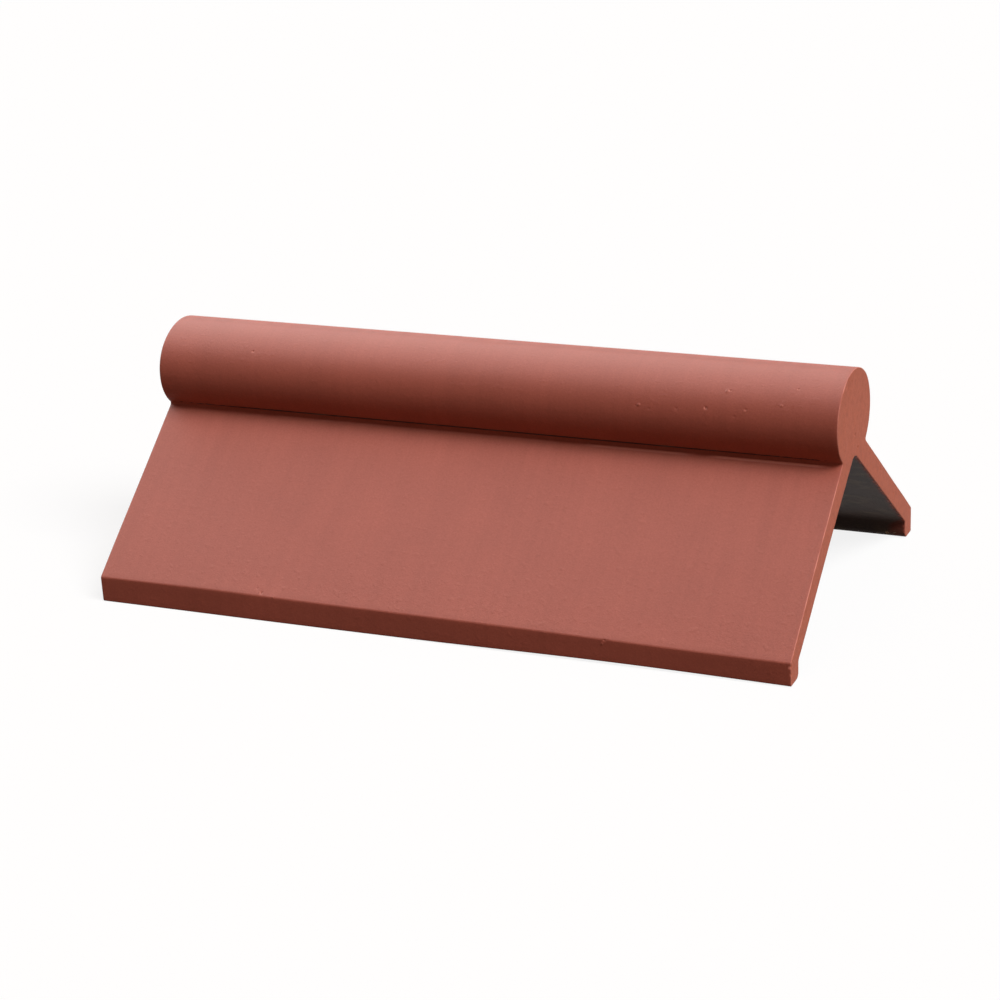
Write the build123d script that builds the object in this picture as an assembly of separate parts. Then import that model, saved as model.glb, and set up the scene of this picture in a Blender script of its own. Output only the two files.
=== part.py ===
from build123d import *
import os
from math import radians, sqrt, tan

# Angle ridge tile: one cast length of concrete, bent like the roof ridge that it covers.
# Two sloping wings meet under a rounded roll, and each wing turns down into an upright foot.
# Frame: X along the tile, Y across it, Z up, with the origin midway along, between the feet, on the floor.

# Driving dimensions, in millimetres and degrees
length = 450.0
width = 254.0
height = 148.0
outer_slope = 38.0
inner_slope = 37.0          # flatter than the outside, so a wing thickens towards the roll
foot_front = 16.4           # height of a foot's outer upright face
foot_back = 11.5            # height of its inner upright face
foot_width = 14.5
roll_width = 68.0
crown_radius = 39.0         # the flatter top of the roll
flank_radius = 26.5         # each side of the roll

# Roundings that the mould and the cutting blade leave
heel_radius = 1.0           # outer lower edge of a foot
toe_radius = 4.0            # inner lower edge of a foot
shoulder_radius = 2.0       # where a wing turns down into its foot
knee_radius = 3.0           # inside, above a foot
hollow_radius = 8.0         # inside, under the roll
cove_radius = 1.5           # between the roll and a wing
rim_radius = 1.0            # round both cut ends

# Places that follow from them, on the half where Y is positive
half_width = width / 2
foot_inside = half_width - foot_width
outer_peak = foot_front + half_width * tan(radians(outer_slope))
inner_peak = foot_back + foot_inside * tan(radians(inner_slope))

# The crown and a flank share a tangent, on the line through both of their centres
crown_centre = Vector(0, height - crown_radius)
flank_offset = roll_width / 2 - flank_radius
flank_rise = sqrt((crown_radius - flank_radius) ** 2 - flank_offset**2)
flank_centre = crown_centre + Vector(flank_offset, flank_rise)
crown_end = flank_centre + (flank_centre - crown_centre).normalized() * flank_radius
flank_end = flank_centre - Vector(0, flank_radius)


def corners(y, z):
    """The section's corner at (y, z) and its mirror image on the other wing."""
    reach = 0.01
    return [v for v in section.vertices() if abs(abs(v.X) - y) < reach and abs(v.Y - z) < reach]


# The section is drawn square to the tile's length, one half at a time
with BuildSketch() as section:
    # The outside of the wings and feet
    with BuildLine():
        Polyline((0, 0), (half_width, 0), (half_width, foot_front), (0, outer_peak))
        mirror(about=Plane.YZ)
    make_face()

    # The roll, an oval that sinks into the peak of the wings
    with BuildLine():
        crown = TangentArc((0, height), crown_end, tangent=(1, 0))
        TangentArc(crown_end, flank_end, tangent=crown % 1)
        Line(flank_end, (0, flank_end.Y))
        mirror(about=Plane.YZ)
    make_face()
    coves = [v for v in section.vertices() if foot_front < v.Y < flank_centre.Y]

    # The hollow under the wings
    with BuildLine():
        Polyline((0, 0), (foot_inside, 0), (foot_inside, foot_back), (0, inner_peak))
        mirror(about=Plane.YZ)
    make_face(mode=Mode.SUBTRACT)

    fillet(coves, cove_radius)
    fillet(corners(half_width, 0), heel_radius)
    fillet(corners(foot_inside, 0), toe_radius)
    fillet(corners(half_width, foot_front), shoulder_radius)
    fillet(corners(foot_inside, foot_back), knee_radius)
    fillet(corners(0, inner_peak), hollow_radius)

# The tile runs half its length each way from the middle, with a small round on the rim of both ends
ridge_tile = extrude(Plane.YZ * section.sketch, amount=length / 2, both=True)
rims = ridge_tile.faces().filter_by(Axis.X).edges()
ridge_tile = fillet(rims, rim_radius)

os.makedirs("parts", exist_ok=True)
export_step(ridge_tile, "parts/ridge_tile.step")
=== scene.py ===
# %% [markdown]
# An angle ridge tile
#
# A ridge tile is one cast length of concrete that covers the peak of a roof. Two sloping wings
# meet under a rounded roll, and each wing turns down into an upright foot. This lesson models
# the tile as one closed mesh round the measured solid, and gives it the matte red coating that
# stops at the rims of the dark, bare hollow. All lengths are in metres, with X along the tile
# and Z up.

# %% Load the measured tile
from math import atan2, cos, exp, pi, radians, sin, sqrt, tan

import bmesh
import bpy
from mathutils import Matrix, Vector, noise


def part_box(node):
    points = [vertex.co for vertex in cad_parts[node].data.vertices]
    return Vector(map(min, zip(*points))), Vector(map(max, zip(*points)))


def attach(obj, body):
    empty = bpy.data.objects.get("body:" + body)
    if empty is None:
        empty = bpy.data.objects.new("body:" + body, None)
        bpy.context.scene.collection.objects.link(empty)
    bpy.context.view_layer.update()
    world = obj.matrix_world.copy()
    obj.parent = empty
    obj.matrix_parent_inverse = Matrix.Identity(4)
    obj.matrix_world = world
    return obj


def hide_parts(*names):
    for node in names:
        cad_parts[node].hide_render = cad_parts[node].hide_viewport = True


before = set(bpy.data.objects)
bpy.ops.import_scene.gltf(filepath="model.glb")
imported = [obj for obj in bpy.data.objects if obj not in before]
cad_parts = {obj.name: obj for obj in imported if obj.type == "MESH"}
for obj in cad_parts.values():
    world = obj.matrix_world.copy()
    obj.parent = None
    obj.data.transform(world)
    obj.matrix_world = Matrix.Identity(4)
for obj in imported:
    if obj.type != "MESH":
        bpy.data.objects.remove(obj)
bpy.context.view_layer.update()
low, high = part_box("ridge_tile")
mm = 0.001
print("measured tile, mm:", [round(side / mm, 1) for side in high - low])

# %% [markdown]
# The camera comes first, because every later choice is judged through it. A long lens, 1.7 m
# away, keeps the tile's edges nearly parallel. The camera is placed by angles round a target
# near the middle of the tile: turned 24 degrees towards the near end, 20 degrees up, and tipped
# a little to one side.

# %% Place the camera
camera_turn = radians(24.41)
camera_rise = radians(20.33)
camera_tip = radians(-3.10)
camera_distance = 1.7063
camera_target = Vector((-0.0108, 0.0107, 0.0394))
sensor_width = 36.0
focal_length = 96.9

camera_axes = (
    Matrix.Rotation(camera_turn, 4, "Z")
    @ Matrix.Rotation(pi / 2 - camera_rise, 4, "X")
    @ Matrix.Rotation(camera_tip, 4, "Z")
)
camera = bpy.data.objects.new("camera", bpy.data.cameras.new("camera"))
camera.data.sensor_width = sensor_width
camera.data.lens = focal_length
camera.matrix_world = (
    Matrix.Translation(camera_target)
    @ camera_axes
    @ Matrix.Translation((0, 0, camera_distance))
)
bpy.context.scene.collection.objects.link(camera)
bpy.context.scene.camera = camera
print("camera stands at", [round(c, 3) for c in camera.matrix_world.translation])

# %% [markdown]
# The section is what a mould would be cut to, so its sizes are written once and the rest is
# worked out from them. The roll is an oval of arcs: a flank on each side and a flatter crown,
# and where two arcs meet they share a tangent.

# %% Sizes of the section
half_width = high.y
height = high.z
outer_slope = radians(38.0)
inner_slope = radians(37.0)
foot_front = 16.4 * mm
foot_back = 11.5 * mm
foot_width = 14.5 * mm
roll_width = 68.0 * mm
crown_radius = 39.0 * mm
flank_radius = 26.5 * mm

foot_inside = half_width - foot_width
inner_peak = foot_back + foot_inside * tan(inner_slope)
crown_centre = Vector((low.x, 0, height - crown_radius))
flank_offset = roll_width / 2 - flank_radius
flank_rise = sqrt((crown_radius - flank_radius) ** 2 - flank_offset**2)
flank_centre = crown_centre + Vector((0, flank_offset, flank_rise))
print("widest line of the roll, mm up:", round(flank_centre.z / mm, 1))

# %% [markdown]
# The roll ends where its flank meets the wing, at the crossing of a circle and a line. The
# flank's centre stands a known height above the wing, measured square to the slope, and the
# crossing lies from there down the slope by the third side of a right triangle.

# %% Where the roll meets a wing
shoulder = Vector((low.x, half_width, foot_front))
square_to_wing = Vector((0, sin(outer_slope), cos(outer_slope)))
down_the_wing = Vector((0, cos(outer_slope), -sin(outer_slope)))
centre_height = (flank_centre - shoulder).dot(square_to_wing)
junction = (
    flank_centre
    - square_to_wing * centre_height
    + down_the_wing * sqrt(flank_radius**2 - centre_height**2)
)
to_junction = junction - flank_centre
crown_turn = atan2(flank_offset, flank_rise)
flank_turn = pi / 2 - crown_turn - atan2(to_junction.z, to_junction.y)
print("roll meets the wing at, mm:", round(junction.y / mm, 1), round(junction.z / mm, 1))

# %% [markdown]
# Half of the section is drawn as a chain of edges. It could be typed in as a list of points,
# but the spin operator draws a true arc from one vertex, and extruding the last vertex adds
# each straight side. The chain starts on top of the roll and ends inside the hollow, back on
# the middle plane.

# %% Draw half of the section
crown_steps = 12
flank_steps = 20
tile = bmesh.new()


def draw_arc(start, centre, turn, steps):
    """Spins a vertex round a line along X and returns the arc's last vertex."""
    arc = bmesh.ops.spin(
        tile, geom=[start], cent=centre, axis=(1, 0, 0), angle=-turn, steps=steps
    )
    return arc["geom_last"][0]


def draw_line(start, y, z):
    """Extrudes a vertex to a new place in the section and returns the new vertex."""
    end = bmesh.ops.extrude_vert_indiv(tile, verts=[start])["verts"][0]
    end.co = (low.x, y, z)
    return end


pen = tile.verts.new((low.x, 0, height))
pen = draw_arc(pen, crown_centre, crown_turn, crown_steps)
pen = draw_arc(pen, flank_centre, flank_turn, flank_steps)
corners = [
    (half_width, foot_front),
    (half_width, 0),
    (foot_inside, 0),
    (foot_inside, foot_back),
    (0, inner_peak),
]
for corner in corners:
    pen = draw_line(pen, *corner)
print("half section:", len(tile.verts), "vertices")

# %% [markdown]
# The tile is the same on both sides, so the other half is a mirror image. Cast concrete has no
# sharp corners. Each one is rounded with a vertex bevel, whose offset is how far the round
# reaches along the straight sides: the radius times the tangent of half the turn.

# %% Mirror it and round its corners
corner_steps = 6
corner_radii = {
    (junction.y, junction.z): 1.5 * mm,
    (half_width, foot_front): 2.0 * mm,
    (half_width, 0): 1.2 * mm,
    (foot_inside, 0): 4.0 * mm,
    (foot_inside, foot_back): 3.0 * mm,
    (0, inner_peak): 8.0 * mm,
}
same_place = 0.01 * mm

bmesh.ops.mirror(
    tile, geom=tile.verts[:] + tile.edges[:], merge_dist=same_place, axis="Y"
)
for (y, z), radius in corner_radii.items():
    found = [
        vert
        for vert in tile.verts
        if Vector((0, abs(vert.co.y) - y, vert.co.z - z)).length < same_place
    ]
    for corner in found:
        sides = [edge.other_vert(corner).co - corner.co for edge in corner.link_edges]
        turn = pi - sides[0].angle(sides[1])
        bmesh.ops.bevel(
            tile,
            geom=[corner],
            offset=radius * tan(turn / 2),
            offset_type="OFFSET",
            segments=corner_steps,
            profile=0.5,
            affect="VERTICES",
            material=-1,
        )
print("closed section:", len(tile.verts), "vertices,", len(tile.edges), "edges")

# %% [markdown]
# The surface will be pushed about by fractions of a millimetre, so it needs vertices to push.
# Long sides are divided evenly, and more finely beside the roll, where a thin bead will be
# raised.

# %% Divide the long sides
grid = 3.0 * mm
fine_zone = 7.0 * mm
fine_cuts = 3

for edge in [e for e in tile.edges if e.calc_length() > 1.5 * grid]:
    cuts = round(edge.calc_length() / grid) - 1
    bmesh.ops.subdivide_edges(tile, edges=[edge], cuts=cuts)


def from_corner(co):
    """How far a place lies from the corner between the roll and the nearer wing."""
    return Vector((0, abs(co.y) - junction.y, co.z - junction.z)).length


for edge in tile.edges[:]:
    middle = (edge.verts[0].co + edge.verts[1].co) / 2
    below_the_roll = from_corner(middle) < fine_zone and middle.z < junction.z
    if below_the_roll and edge.calc_length() > grid / 2:
        bmesh.ops.subdivide_edges(tile, edges=[edge], cuts=fine_cuts)
print("closed section, divided:", len(tile.verts), "vertices")

# %% [markdown]
# The outline is swept along the tile. A spin with no turn and a step along X does that, and
# leaves a regular grid of quads. The two open ends are filled.

# %% Sweep the section along the tile
lengthwise_steps = round((high.x - low.x) / grid)
step = Vector(((high.x - low.x) / lengthwise_steps, 0, 0))
bmesh.ops.spin(
    tile,
    geom=tile.verts[:] + tile.edges[:],
    cent=(0, 0, 0),
    axis=(1, 0, 0),
    angle=0,
    dvec=step,
    steps=lengthwise_steps,
)
bmesh.ops.holes_fill(tile, edges=[e for e in tile.edges if e.is_boundary], sides=0)
bmesh.ops.recalc_face_normals(tile, faces=tile.faces[:])
print("swept tile:", len(tile.faces), "faces, volume", round(tile.calc_volume() * 1e6), "cm3")

# %% [markdown]
# A blade cuts the fresh concrete to length, and the rim of each cut is left slightly round.
# That round catches a thin line of light along the near end, so it is real geometry: an edge
# bevel with three segments round each end face. The end faces are the only ones with hundreds
# of corners.

# %% Round the rims of the cut ends
rim_radius = 0.8 * mm
rim_steps = 3
end_corners = 100

end_faces = [f for f in tile.faces if len(f.verts) > end_corners]
rim_edges = list({edge for face in end_faces for edge in face.edges})
bmesh.ops.bevel(
    tile,
    geom=rim_edges,
    offset=rim_radius,
    offset_type="OFFSET",
    segments=rim_steps,
    profile=0.5,
    affect="EDGES",
    material=-1,
)
end_faces = [f for f in tile.faces if len(f.verts) > end_corners]
areas = [round(face.calc_area() / mm**2) for face in end_faces]
print("end faces:", len(end_faces), "areas, mm2:", areas)

# %% [markdown]
# Each end is still one big face, with nothing inside it to shape. An inset keeps a clean border
# behind the rim, and the face within is sliced by planes into small squares. Slicing only that
# face leaves the swept surface's own grid alone.

# %% Slice the cut ends into a grid
border = 0.3 * mm


def slice_region(region, direction, first, last):
    """Cuts a flat region by evenly spaced planes and returns its geometry."""
    for count in range(round((last - first) / grid) + 1):
        cut = bmesh.ops.bisect_plane(
            tile,
            geom=region,
            plane_co=direction * (first + count * grid),
            plane_no=direction,
            dist=same_place,
        )
        region = cut["geom"]
    return region


for end_face in end_faces:
    bmesh.ops.inset_region(
        tile, faces=[end_face], thickness=border, use_even_offset=True
    )
    region = [end_face, *end_face.edges, *end_face.verts]
    region = slice_region(region, Vector((0, 1, 0)), grid / 2 - half_width, half_width)
    region = slice_region(region, Vector((0, 0, 1)), grid / 2, height)
print("with sliced ends:", len(tile.faces), "faces")

# %% [markdown]
# No casting is as true as its mould. Long, shallow waves run through the wings, and the thin
# feet wander most. Each vertex moves inwards along its own normal by a smooth noise of its
# place, so nothing grows past the measured size, and the undersides of the feet stay on the
# floor. The cut ends also get a finer unevenness, where the blade dragged.

# %% Let the surface wander
wave_stretch = Vector((1 / 0.09, 1 / 0.05, 1 / 0.05))
wing_wave = 0.25 * mm
foot_wave = 0.7 * mm
foot_zone = 30.0 * mm
drag_scale = 1 / (7.0 * mm)
drag_depth = 0.22 * mm
end_facing = 0.9
sole_zone = 2.5 * mm


def share(value):
    """Holds a number between 0 and 1."""
    return min(max(value, 0.0), 1.0)


def half_noise(place):
    """Smooth noise of a place, between 0 and 1."""
    return share(0.5 + 0.5 * noise.noise(place))


def wave_move(vert):
    """How far inwards the waves move a vertex."""
    footing = share(1 - vert.co.z / foot_zone)
    depth = wing_wave + (foot_wave - wing_wave) * footing
    depth *= half_noise(vert.co * wave_stretch)
    if abs(vert.normal.x) > end_facing:
        depth += drag_depth * half_noise(vert.co * drag_scale)
    move = vert.normal * depth
    move.z *= share(vert.co.z / sole_zone)
    return move


print("waves on the wings and on the feet, mm:", round(wing_wave / mm, 2), round(foot_wave / mm, 2))

# %% [markdown]
# The front foot was trimmed unevenly. Its underside lifts a little off the floor along the near
# half, and its upper edge rises near the far end and dips towards the near one. Both moves are
# smooth curves of the place along the tile. All moves are worked out first and made afterwards,
# so that no vertex is judged by a neighbour that has moved already.

# %% Trim the front foot unevenly
foot_lift = 1.45 * mm
lift_middle, lift_reach = 118 * mm, 100 * mm
edge_rise = 0.5 * mm
rise_middle, rise_reach = -150 * mm, 45 * mm
edge_dip = 1.4 * mm
dip_start, dip_length = 20 * mm, 195 * mm
edge_zone = 45.0 * mm


def hump(along, middle, reach):
    """A smooth hump of height 1 round a middle."""
    return exp(-(((along - middle) / reach) ** 2))


def front_foot_move(co):
    """How far the uneven trimming moves a place up or down."""
    up_the_foot = share(co.z / foot_front)
    near_edge = share(1 - (half_width + co.y) / edge_zone) * up_the_foot
    lift = foot_lift * hump(co.x, lift_middle, lift_reach) * (1 - up_the_foot)
    dip = share((co.x - dip_start) / dip_length)
    dip = edge_dip * dip * dip * (3 - 2 * dip)
    return lift + near_edge * (edge_rise * hump(co.x, rise_middle, rise_reach) - dip)


tile.normal_update()
moves = [wave_move(vert) for vert in tile.verts]
for vert, move in zip(tile.verts, moves):
    if vert.co.y < foot_width - half_width + edge_zone:
        move.z -= front_foot_move(vert.co)
for vert, move in zip(tile.verts, moves):
    vert.co -= move
print("farthest move, mm:", round(max(move.length for move in moves) / mm, 2))

# %% [markdown]
# Under the roll, the coating has gathered into a fine raised bead, mostly along the near half
# and about 3 mm down the wing from the corner. The rows of vertices are close there, so raising
# two of them gives the bead. Each stretch of it has a start and an end in millimetres along the
# tile and a strength, and fades in and out as a run of wet coating does. Its crest is painted
# pale as a painted highlight, where light would catch it, and how pale is stored with it.

# %% Raise the bead of coating under the roll
bead_height = 0.4 * mm
bead_half_width = 0.85 * mm
bead_stretches = [(62, 134, 0.75), (141, 219, 1.0), (-150, 50, 0.2)]
bead_fade = 9.0 * mm
corner_gap = 2.9 * mm
bead_highlight_share = 0.85
bead_highlight_layer = tile.verts.layers.float.new("painted_highlight_and_wear")

tile.normal_update()
for vert in tile.verts:
    across = share(1 - ((from_corner(vert.co) - corner_gap) / bead_half_width) ** 2)
    if across == 0 or vert.co.y > 0 or vert.co.z > junction.z:
        continue
    along = 0
    for start, end, strength in bead_stretches:
        inside = min(vert.co.x - start * mm, end * mm - vert.co.x) / bead_fade
        along = max(along, strength * share(inside))
    vert.co += vert.normal * bead_height * across * along
    # painted highlight: the bead's crest is stored as painted pale, where light would catch it
    vert[bead_highlight_layer] = bead_highlight_share * across * along
print("bead stretches:", len(bead_stretches))

# %% [markdown]
# Air bubbles and grains of sand leave pits and pimples a millimetre or two wide. They could be
# faked by a bump in the material, but a pit has a real shadow. So the mesh is divided finely
# round each mark, and its vertices are pushed in or out along the surface's normal in a smooth
# dome.

# %% Tools for small marks
mark_cuts = 5
mark_reach = 1.2
raggedness = 0.35
pale_gain = 3
short_edge = 0.9 * mm
pale_layer = tile.verts.layers.float.new("pale")


def near(place, reach):
    """Vertices within reach of a place."""
    return [v for v in tile.verts if (v.co - place).length < reach]


def divide(place, reach):
    """Divides the long edges between the vertices within reach of a place."""
    close = set(near(place, reach))
    edges = {e for v in close for e in v.link_edges if e.other_vert(v) in close}
    edges = [e for e in edges if e.calc_length() > short_edge]
    bmesh.ops.subdivide_edges(tile, edges=edges, cuts=mark_cuts, use_grid_fill=True)


def mark(place, radius, rise, pale=0.0):
    """Makes a pimple, or a pit where the rise is negative, and may show pale concrete in it."""
    divide(place, radius + grid)
    tile.normal_update()
    close = near(place, mark_reach * radius)
    normal = sum((v.normal for v in close), Vector()).normalized()
    for vert in close:
        ragged = 1 + raggedness * noise.noise((vert.co - place) / radius + place / mm)
        dome = share(1 - ((vert.co - place).length / (radius * ragged)) ** 2) ** 2
        vert.co += normal * rise * dome
        vert[pale_layer] = max(vert[pale_layer], pale * share(pale_gain * dome))


print("an edge under a mark is cut", mark_cuts, "times")

# %% [markdown]
# A mark is easier to place by where a hand would find it than by coordinates. On the roll, that
# is the distance along the tile and the angle above the roll's widest line. On a wing, it is
# the distance along the tile and the distance from its middle.

# %% Places on the roll and the wings
def on_roll(x, angle):
    """A place on the front of the roll, by its angle above the roll's widest line."""
    turn = radians(angle)
    if turn < pi / 2 - crown_turn:
        centre, radius = flank_centre, flank_radius
    else:
        centre, radius = crown_centre, crown_radius
    y = centre.y + radius * cos(turn)
    return Vector((x * mm, -y, centre.z + radius * sin(turn)))


def on_wing(x, from_middle):
    """A place on the front wing, by its distance from the middle in millimetres."""
    z = foot_front + (half_width - from_middle * mm) * tan(outer_slope)
    return Vector((x * mm, -from_middle * mm, z))


print("top of the roll, mm up:", round(on_roll(0, 90).z / mm, 1))

# %% [markdown]
# The marks that show are listed one by one: along the tile in millimetres, then by angle round
# the roll or distance down the wing, with a radius and a rise. Most sit on the near half of the
# roll's flank.

# %% Pits and pimples in view
roll_marks = [
    (102.3, 17.8, 1.3, 0.45),
    (100.2, 16.0, 1.0, -0.4),
    (108.8, 13.2, 0.9, -0.25),
    (126.0, 16.3, 1.3, -0.25),
    (143.9, 20.4, 1.4, -0.6),
    (155.7, 45.1, 1.5, 0.35),
    (157.6, 46.0, 0.9, -0.4),
    (168.6, 22.3, 1.1, -0.35),
    (164.6, 23.6, 0.8, -0.2),
    (172.4, 23.0, 0.8, -0.2),
    (162.0, 12.0, 1.0, -0.2),
    (190.0, 31.5, 1.2, 0.3),
    (193.5, 27.5, 1.0, -0.3),
    (186.8, 33.0, 0.8, 0.2),
    (190.5, 37.0, 0.8, -0.2),
    (197.0, 31.0, 0.8, -0.2),
    (197.9, 55.2, 0.9, -0.5),
    (176.0, 56.0, 0.8, 0.2),
    (-159.5, 45.7, 0.9, -0.6),
    (118.0, 33.0, 0.9, 0.15),
    (-20.0, 26.0, 0.8, -0.15),
    (40.0, 38.0, 0.8, 0.12),
]
wing_marks = [
    (-111.8, 125.2, 1.6, -0.4),
    (-106.7, 125.4, 1.4, -0.35),
    (-115.5, 122.9, 1.2, -0.2),
    (-103.5, 126.6, 1.3, 0.25),
    (94.5, 124.9, 1.0, -0.3),
    (216.6, 122.0, 1.4, 0.3),
    (205.0, 88.0, 1.1, 0.14),
    (188.0, 71.0, 1.2, -0.12),
    (150.0, 52.0, 1.0, 0.12),
]
for x, angle, radius, rise in roll_marks:
    mark(on_roll(x, angle), radius * mm, rise * mm)
for x, from_middle, radius, rise in wing_marks:
    mark(on_wing(x, from_middle), radius * mm, rise * mm)
print("marks in view:", len(roll_marks) + len(wing_marks))

# %% [markdown]
# The cut end has a few open bubbles, listed across and up. The front foot has lost two crumbs
# at its near corner, and farther along, one stands out just under the edge, beside a pit. These
# are listed along and up. A little concrete has flaked from the back foot, where the break
# shows pale.

# %% Bubbles and chips at the near end
end_marks = [
    (1.0, 107.6, 1.2, -0.9),
    (7.2, 97.9, 1.1, -0.8),
    (-10.8, 144.9, 1.3, -0.7),
    (-15.0, 142.0, 1.2, -0.5),
    (-4.7, 142.5, 0.9, -0.4),
    (-62.0, 59.0, 1.0, -0.4),
    (55.0, 67.0, 1.0, -0.5),
    (84.0, 41.0, 1.1, -0.5),
]
for y, z, radius, rise in end_marks:
    mark(Vector((high.x, y * mm, z * mm)), radius * mm, rise * mm)

foot_marks = [
    (225.0, 12.5, 2.2, -0.8),
    (225.0, 8.0, 1.5, -0.5),
    (110.9, 12.8, 1.2, 0.35),
    (112.7, 15.2, 1.3, -0.5),
]
for x, z, radius, rise in foot_marks:
    mark(Vector((x * mm, -half_width, z * mm)), radius * mm, rise * mm)

toe_chips = [(212.8, 2.2, 1.6), (206.5, 1.2, 1.2), (217.6, 3.0, 1.0)]
toe_chip_y = foot_inside + 0.6 * mm
toe_chip_depth = 0.5 * mm
for x, z, radius in toe_chips:
    mark(Vector((x * mm, toe_chip_y, z * mm)), radius * mm, -toe_chip_depth, pale=1.0)
print("marks at the near end:", len(end_marks) + len(foot_marks) + len(toe_chips))

# %% [markdown]
# The coating is sprayed on from outside, so it stops a little way in from the edges that it can
# reach. Place alone cannot tell the material which side of a wall it is on, but the normal can.
# Each vertex stores how far in it lies from the nearest outer edge, in millimetres: more than
# nothing where its surface faces into the hollow or down to the floor, and less on the outside.
# It also stores how squarely it faces along the tile, because the cut ends are coloured
# differently, and their rounded rims are painted paler, partly as wear, partly as painted
# highlight.

# %% Store how far in from the coating each place lies
facing_gain = 1.6
inward_layer = tile.verts.layers.float.new("inward")
cut_layer = tile.verts.layers.float.new("cut")

tile.normal_update()
for vert in tile.verts:
    side = -1 if vert.co.y < 0 else 1
    facing = vert.normal.dot(Vector((0, -side, -1)).normalized())
    from_edge = min(high.x - abs(vert.co.x), half_width - abs(vert.co.y)) / mm
    vert[inward_layer] = from_edge * min(max(facing_gain * facing, -1), 1)
    vert[cut_layer] = share(abs(vert.normal.x))
inside = sum(1 for vert in tile.verts if vert[inward_layer] > 0)
print("vertices that face inwards:", inside, "of", len(tile.verts))

# %% [markdown]
# The mesh becomes one object that stands for the measured solid and moves with it. Everything
# is shaded smooth, because the roundings are real geometry and need no sharp edges.

# %% Make the tile an object
mesh = bpy.data.meshes.new("ridge_tile_surface")
tile.to_mesh(mesh)
tile.free()
mesh.shade_smooth()
mesh.calc_loop_triangles()
ridge = bpy.data.objects.new("ridge_tile_surface", mesh)
bpy.context.scene.collection.objects.link(ridge)
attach(ridge, "root")
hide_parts("ridge_tile")
print("triangles:", len(mesh.loop_triangles))
print("size, mm:", [round(side / mm, 2) for side in ridge.dimensions])

# %% [markdown]
# A few small helpers keep the material short. The first two fill in sockets and add arithmetic.
# The third adds a noise texture by the size of its grains, so its scale reads as a real length.
# Each returns an output, so that one can be written inside another.

# %% Material tools
concrete = bpy.data.materials.new("coated_concrete")
concrete.use_nodes = True
nodes = concrete.node_tree.nodes
links = concrete.node_tree.links
shader = nodes["Principled BSDF"]
place = nodes.new("ShaderNodeTexCoord").outputs["Object"]


def connect(value, socket):
    """Links an output to a socket, or writes a plain value into it."""
    if isinstance(value, bpy.types.NodeSocket):
        links.new(value, socket)
    else:
        socket.default_value = value


def math_node(operation, first, second=0.0, third=0.0):
    """Adds a math node and returns its result."""
    node = nodes.new("ShaderNodeMath")
    node.operation = operation
    for value, socket in zip((first, second, third), node.inputs):
        connect(value, socket)
    return node.outputs[0]


def grain(size, detail=2.0, stretch=(1, 1, 1)):
    """Adds a noise whose grains are about the given size, and returns its value."""
    mapping = nodes.new("ShaderNodeMapping")
    mapping.inputs["Scale"].default_value = stretch
    links.new(place, mapping.inputs["Vector"])
    texture = nodes.new("ShaderNodeTexNoise")
    texture.inputs["Scale"].default_value = 1 / size
    texture.inputs["Detail"].default_value = detail
    links.new(mapping.outputs[0], texture.inputs["Vector"])
    return texture.outputs["Fac"]


print("material:", concrete.name)

# %% [markdown]
# Three more helpers turn those values into looks. One carries a range of values onto another,
# one mixes two colours, and one reads what was stored on the mesh.

# %% Tools for ranges and colours
def remap(value, low_in, high_in, low_out=0.0, high_out=1.0):
    """Adds a node that carries one range of values onto another, held at both ends."""
    node = nodes.new("ShaderNodeMapRange")
    connect(value, node.inputs["Value"])
    names = ("From Min", "From Max", "To Min", "To Max")
    for name, number in zip(names, (low_in, high_in, low_out, high_out)):
        connect(number, node.inputs[name])
    return node.outputs[0]


def blend(factor, first, second, how="MIX"):
    """Adds a colour mix and returns its result."""
    node = nodes.new("ShaderNodeMix")
    node.data_type = "RGBA"
    node.blend_type = how
    connect(factor, node.inputs[0])
    connect(first, node.inputs[6])
    connect(second, node.inputs[7])
    return node.outputs[2]


def stored(name):
    """Adds a node that reads a value stored on the mesh."""
    node = nodes.new("ShaderNodeAttribute")
    node.attribute_name = name
    return node.outputs["Fac"]


print("material nodes so far:", len(nodes))

# %% [markdown]
# The coating is a matte, slightly chalky red, a little uneven where it was sprayed thicker.
# Soft patches a few centimetres wide, faint streaks that run round the tile and a fine grain
# shift its strength by a few hundredths. The cut ends soaked up less of it, so they are more
# orange.

# %% Colour of the coating
coat_colour = (0.310, 0.078, 0.052, 1)
cut_colour = (0.424, 0.119, 0.071, 1)
# pale colour for worn rims and for painted highlights on the rims and the bead
pale_wear_and_highlight_colour = (0.600, 0.225, 0.170, 1)

patches = remap(grain(45 * mm, detail=3.0), 0.3, 0.7, 0.955, 1.045)
speckle = remap(grain(1.1 * mm, detail=1.0), 0.25, 0.75, 0.93, 1.07)
streaks = remap(grain(5 * mm, detail=4.0, stretch=(1, 0.05, 0.05)), 0.3, 0.7, 0.965, 1.035)
coat_strength = math_node("MULTIPLY", math_node("MULTIPLY", patches, streaks), speckle)
cut_mottle = remap(grain(4 * mm, detail=3.0), 0.3, 0.7, 0.92, 1.08)
cut = stored("cut")
cut_share = remap(cut, 0.75, 0.95)
# rims of the cut ends, painted paler as wear and as a painted highlight
rim_wear_and_highlight_share = math_node("MULTIPLY", remap(cut, 0.1, 0.4), math_node("SUBTRACT", 1.0, cut_share))
cut_strength = math_node("MULTIPLY", cut_mottle, speckle)


def scaled(colour, strength):
    """A colour made stronger or weaker by a value."""
    grey = nodes.new("ShaderNodeCombineColor")
    for socket in grey.inputs:
        links.new(strength, socket)
    return blend(1.0, colour, grey.outputs[0], how="MULTIPLY")


coated = blend(cut_share, scaled(coat_colour, coat_strength), scaled(cut_colour, cut_strength))
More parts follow.
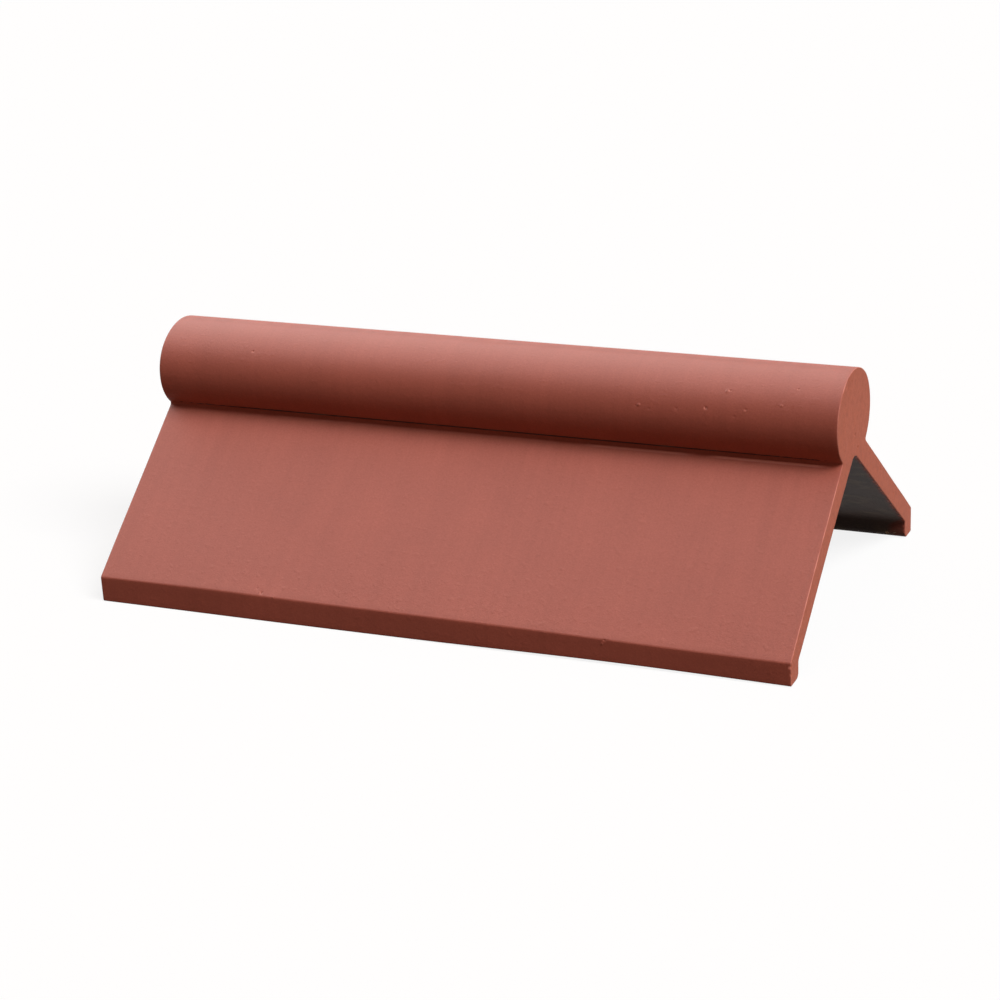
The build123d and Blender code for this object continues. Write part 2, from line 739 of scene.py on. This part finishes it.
# painted highlight and wear: the rounded rims of the cut ends are painted paler in patches, and the
# bead's stored painted highlight takes the same pale colour
rim_patchiness = remap(grain(12 * mm, detail=3.0), 0.35, 0.65, 0.35, 1.0)
painted_highlight_and_wear = math_node("MAXIMUM", math_node("MULTIPLY", rim_wear_and_highlight_share, rim_patchiness), stored("painted_highlight_and_wear"))
coated = blend(painted_highlight_and_wear, coated, pale_wear_and_highlight_colour)
print("coating colour:", coat_colour[:3])

# %% [markdown]
# Inside, the concrete is as it left the mould: dull and grey-brown, with a few lighter smears of
# cement. Its colour is darkened well past that, as painted shade of the hollow. The coating ends a
# millimetre or two past each rim in a torn line, and drifts further along the feet as a thin dark
# mist. Both come from the stored distance, compared with a limit that a noise makes ragged.

# %% Bare concrete and the edge of the coating
# painted shade: both bare concrete colours are darkened for the shade inside the hollow
bare_and_shade_colour = (0.043, 0.024, 0.018, 1)
bare_and_shade_dark = (0.021, 0.011, 0.008, 1)
mist_colour = (0.120, 0.028, 0.018, 1)
smear_colour = (0.095, 0.068, 0.048, 1)
pale_colour = (0.520, 0.400, 0.310, 1)

inward = stored("inward")
torn = remap(grain(4 * mm, detail=4.0), 0.3, 0.7, -1.2, 1.2)
torn_inward = math_node("ADD", inward, torn)
bare_share = remap(torn_inward, 1.1, 1.7)

split = nodes.new("ShaderNodeSeparateXYZ")
links.new(place, split.inputs[0])
mist_reach = remap(split.outputs["Z"], 9 * mm, 14 * mm, 10.0, 2.2)
mist_share = remap(math_node("SUBTRACT", mist_reach, torn_inward), -2.0, 2.0)

bare_patches = remap(grain(14 * mm, detail=5.0), 0.3, 0.7)
bare_concrete_and_shade = blend(bare_patches, bare_and_shade_dark, bare_and_shade_colour)
smears = remap(grain(10 * mm, detail=4.0, stretch=(0.5, 1, 1)), 0.52, 0.68, 0.0, 0.8)
bare_concrete_and_shade = blend(smears, bare_concrete_and_shade, smear_colour)
misted = blend(math_node("MULTIPLY", mist_share, 0.75), bare_concrete_and_shade, mist_colour)
surface_colour = blend(bare_share, coated, misted)
surface_colour = blend(stored("pale"), surface_colour, pale_colour)
links.new(surface_colour, shader.inputs["Base Color"])
print("bare concrete colour:", bare_and_shade_colour[:3])

# %% [markdown]
# A dry cement coating scatters nearly all its light, with a faint sheen at a glance along it.
# Its surface is a fine sand grain of a few hundredths of a millimetre with a scatter of low
# pimples, far too small for the mesh, so it is a bump. The bare concrete inside is coarser, and
# takes a stronger one.

# %% Gloss and fine grain
shader.inputs["Roughness"].default_value = 0.6
shader.inputs["Specular IOR Level"].default_value = 0.11

fine_relief = grain(0.8 * mm, detail=3.0)
coarse_relief = grain(3.5 * mm, detail=3.0)
pimples = remap(grain(4.2 * mm, detail=1.0), 0.60, 0.80)
relief = math_node("MULTIPLY_ADD", coarse_relief, 1.5, fine_relief)
relief = math_node("MULTIPLY_ADD", pimples, 1.4, relief)
bump = nodes.new("ShaderNodeBump")
bump.inputs["Distance"].default_value = 0.12 * mm
links.new(remap(inward, 0.5, 2.0, 0.45, 0.9), bump.inputs["Strength"])
links.new(relief, bump.inputs["Height"])
links.new(bump.outputs[0], shader.inputs["Normal"])
mesh.materials.append(concrete)
print("material nodes:", len(nodes))

# %% [markdown]
# The tile stands on a white floor, as in a product picture. The floor is one square, wide
# enough to fill every view of it.

# %% Lay the floor
floor_size = 8.0

floor_mesh = bpy.data.meshes.new("floor")
flat = bmesh.new()
bmesh.ops.create_grid(flat, x_segments=1, y_segments=1, size=floor_size / 2)
flat.to_mesh(floor_mesh)
flat.free()
floor = bpy.data.objects.new("floor", floor_mesh)
bpy.context.scene.collection.objects.link(floor)
print("floor, m:", round(floor.dimensions.x, 1))

# %% [markdown]
# To the camera, the floor and the sky are plain white. To the tile, they are dim and warm, so
# that the sides turned from the lamp stay deep red instead of grey. The Light Path node tells
# the two apart. The helpers for that add to the node tree that nodes and links name, so the
# floor and the sky each point those names at their own tree.

# %% Tools for the floor and the sky
def seen_directly():
    """Adds nodes that give 1 where the camera sees a place, also mirrored or through glass."""
    path = nodes.new("ShaderNodeLightPath")
    seen = math_node("MAXIMUM", path.outputs["Is Camera Ray"], path.outputs["Is Glossy Ray"])
    return math_node("MAXIMUM", seen, path.outputs["Is Transmission Ray"])


def mix_shader(factor, first, second):
    """Adds a shader mix and returns its result."""
    node = nodes.new("ShaderNodeMixShader")
    connect(factor, node.inputs[0])
    links.new(first, node.inputs[1])
    links.new(second, node.inputs[2])
    return node.outputs[0]


def shader_node(kind, colour):
    """Adds a plain shader of a kind and colour, and returns its output."""
    node = nodes.new(kind)
    node.inputs["Color"].default_value = colour
    return node.outputs[0]


print("Light Path marks camera, glossy and transmission rays")

# %% [markdown]
# What the camera sees of the floor is mostly a glow of strength 1, which is plain white, with a
# share of ordinary white paint mixed in. Only the paint darkens in the tile's shade, so the
# shadow stays faint.

# %% A floor that is white to the camera
floor_glow_share = 0.86
floor_bounce = (0.130, 0.085, 0.045, 1)

white_floor = bpy.data.materials.new("white_floor")
white_floor.use_nodes = True
nodes = white_floor.node_tree.nodes
links = white_floor.node_tree.links
nodes.clear()

glow = shader_node("ShaderNodeEmission", (1, 1, 1, 1))
shaded = shader_node("ShaderNodeBsdfDiffuse", (1, 1, 1, 1))
bounce = shader_node("ShaderNodeBsdfDiffuse", floor_bounce)
seen_floor = mix_shader(floor_glow_share, shaded, glow)
floor_output = nodes.new("ShaderNodeOutputMaterial")
links.new(mix_shader(seen_directly(), bounce, seen_floor), floor_output.inputs["Surface"])
floor_mesh.materials.append(white_floor)
print("floor glow:", floor_glow_share, "bounce:", floor_bounce[:3])

# %% [markdown]
# The sky works in the same way, with nothing to shade: white behind the tile, and a dim, warm
# fill in the tile's own light.

# %% A sky that is white to the camera
sky_fill = (0.190, 0.106, 0.073, 1)

sky = bpy.data.worlds.new("sky")
sky.use_nodes = True
bpy.context.scene.world = sky
nodes = sky.node_tree.nodes
links = sky.node_tree.links
nodes.clear()
white_sky = shader_node("ShaderNodeBackground", (1, 1, 1, 1))
dim_sky = shader_node("ShaderNodeBackground", sky_fill)
sky_output = nodes.new("ShaderNodeOutputWorld")
links.new(mix_shader(seen_directly(), dim_sky, white_sky), sky_output.inputs["Surface"])
print("sky fill:", sky_fill[:3])

# %% [markdown]
# One lamp lights the tile from high beyond its near end, which is why the top and the near end
# are bright and the long side is dim. A second, very wide one hangs overhead and a little
# behind, and shows only as gloss: the pale haze that lies over the top of the roll and the
# slope in the photograph.

# %% Lights
def add_sun(name, towards, strength, width):
    """Adds a sun that shines from a direction, with a strength and a width in degrees."""
    lamp = bpy.data.objects.new(name, bpy.data.lights.new(name, "SUN"))
    lamp.data.energy = strength
    lamp.data.angle = radians(width)
    lamp.rotation_euler = Vector(towards).to_track_quat("Z", "Y").to_euler()
    bpy.context.scene.collection.objects.link(lamp)
    return lamp


key = add_sun("key", (0.60, -0.19, 0.78), 3.3, 32)
haze = add_sun("haze", (-0.37, 0.24, 0.90), 13.2, 84)
haze.visible_diffuse = False
bpy.context.scene.view_settings.view_transform = "Standard"
print("lights:", key.name, haze.name)
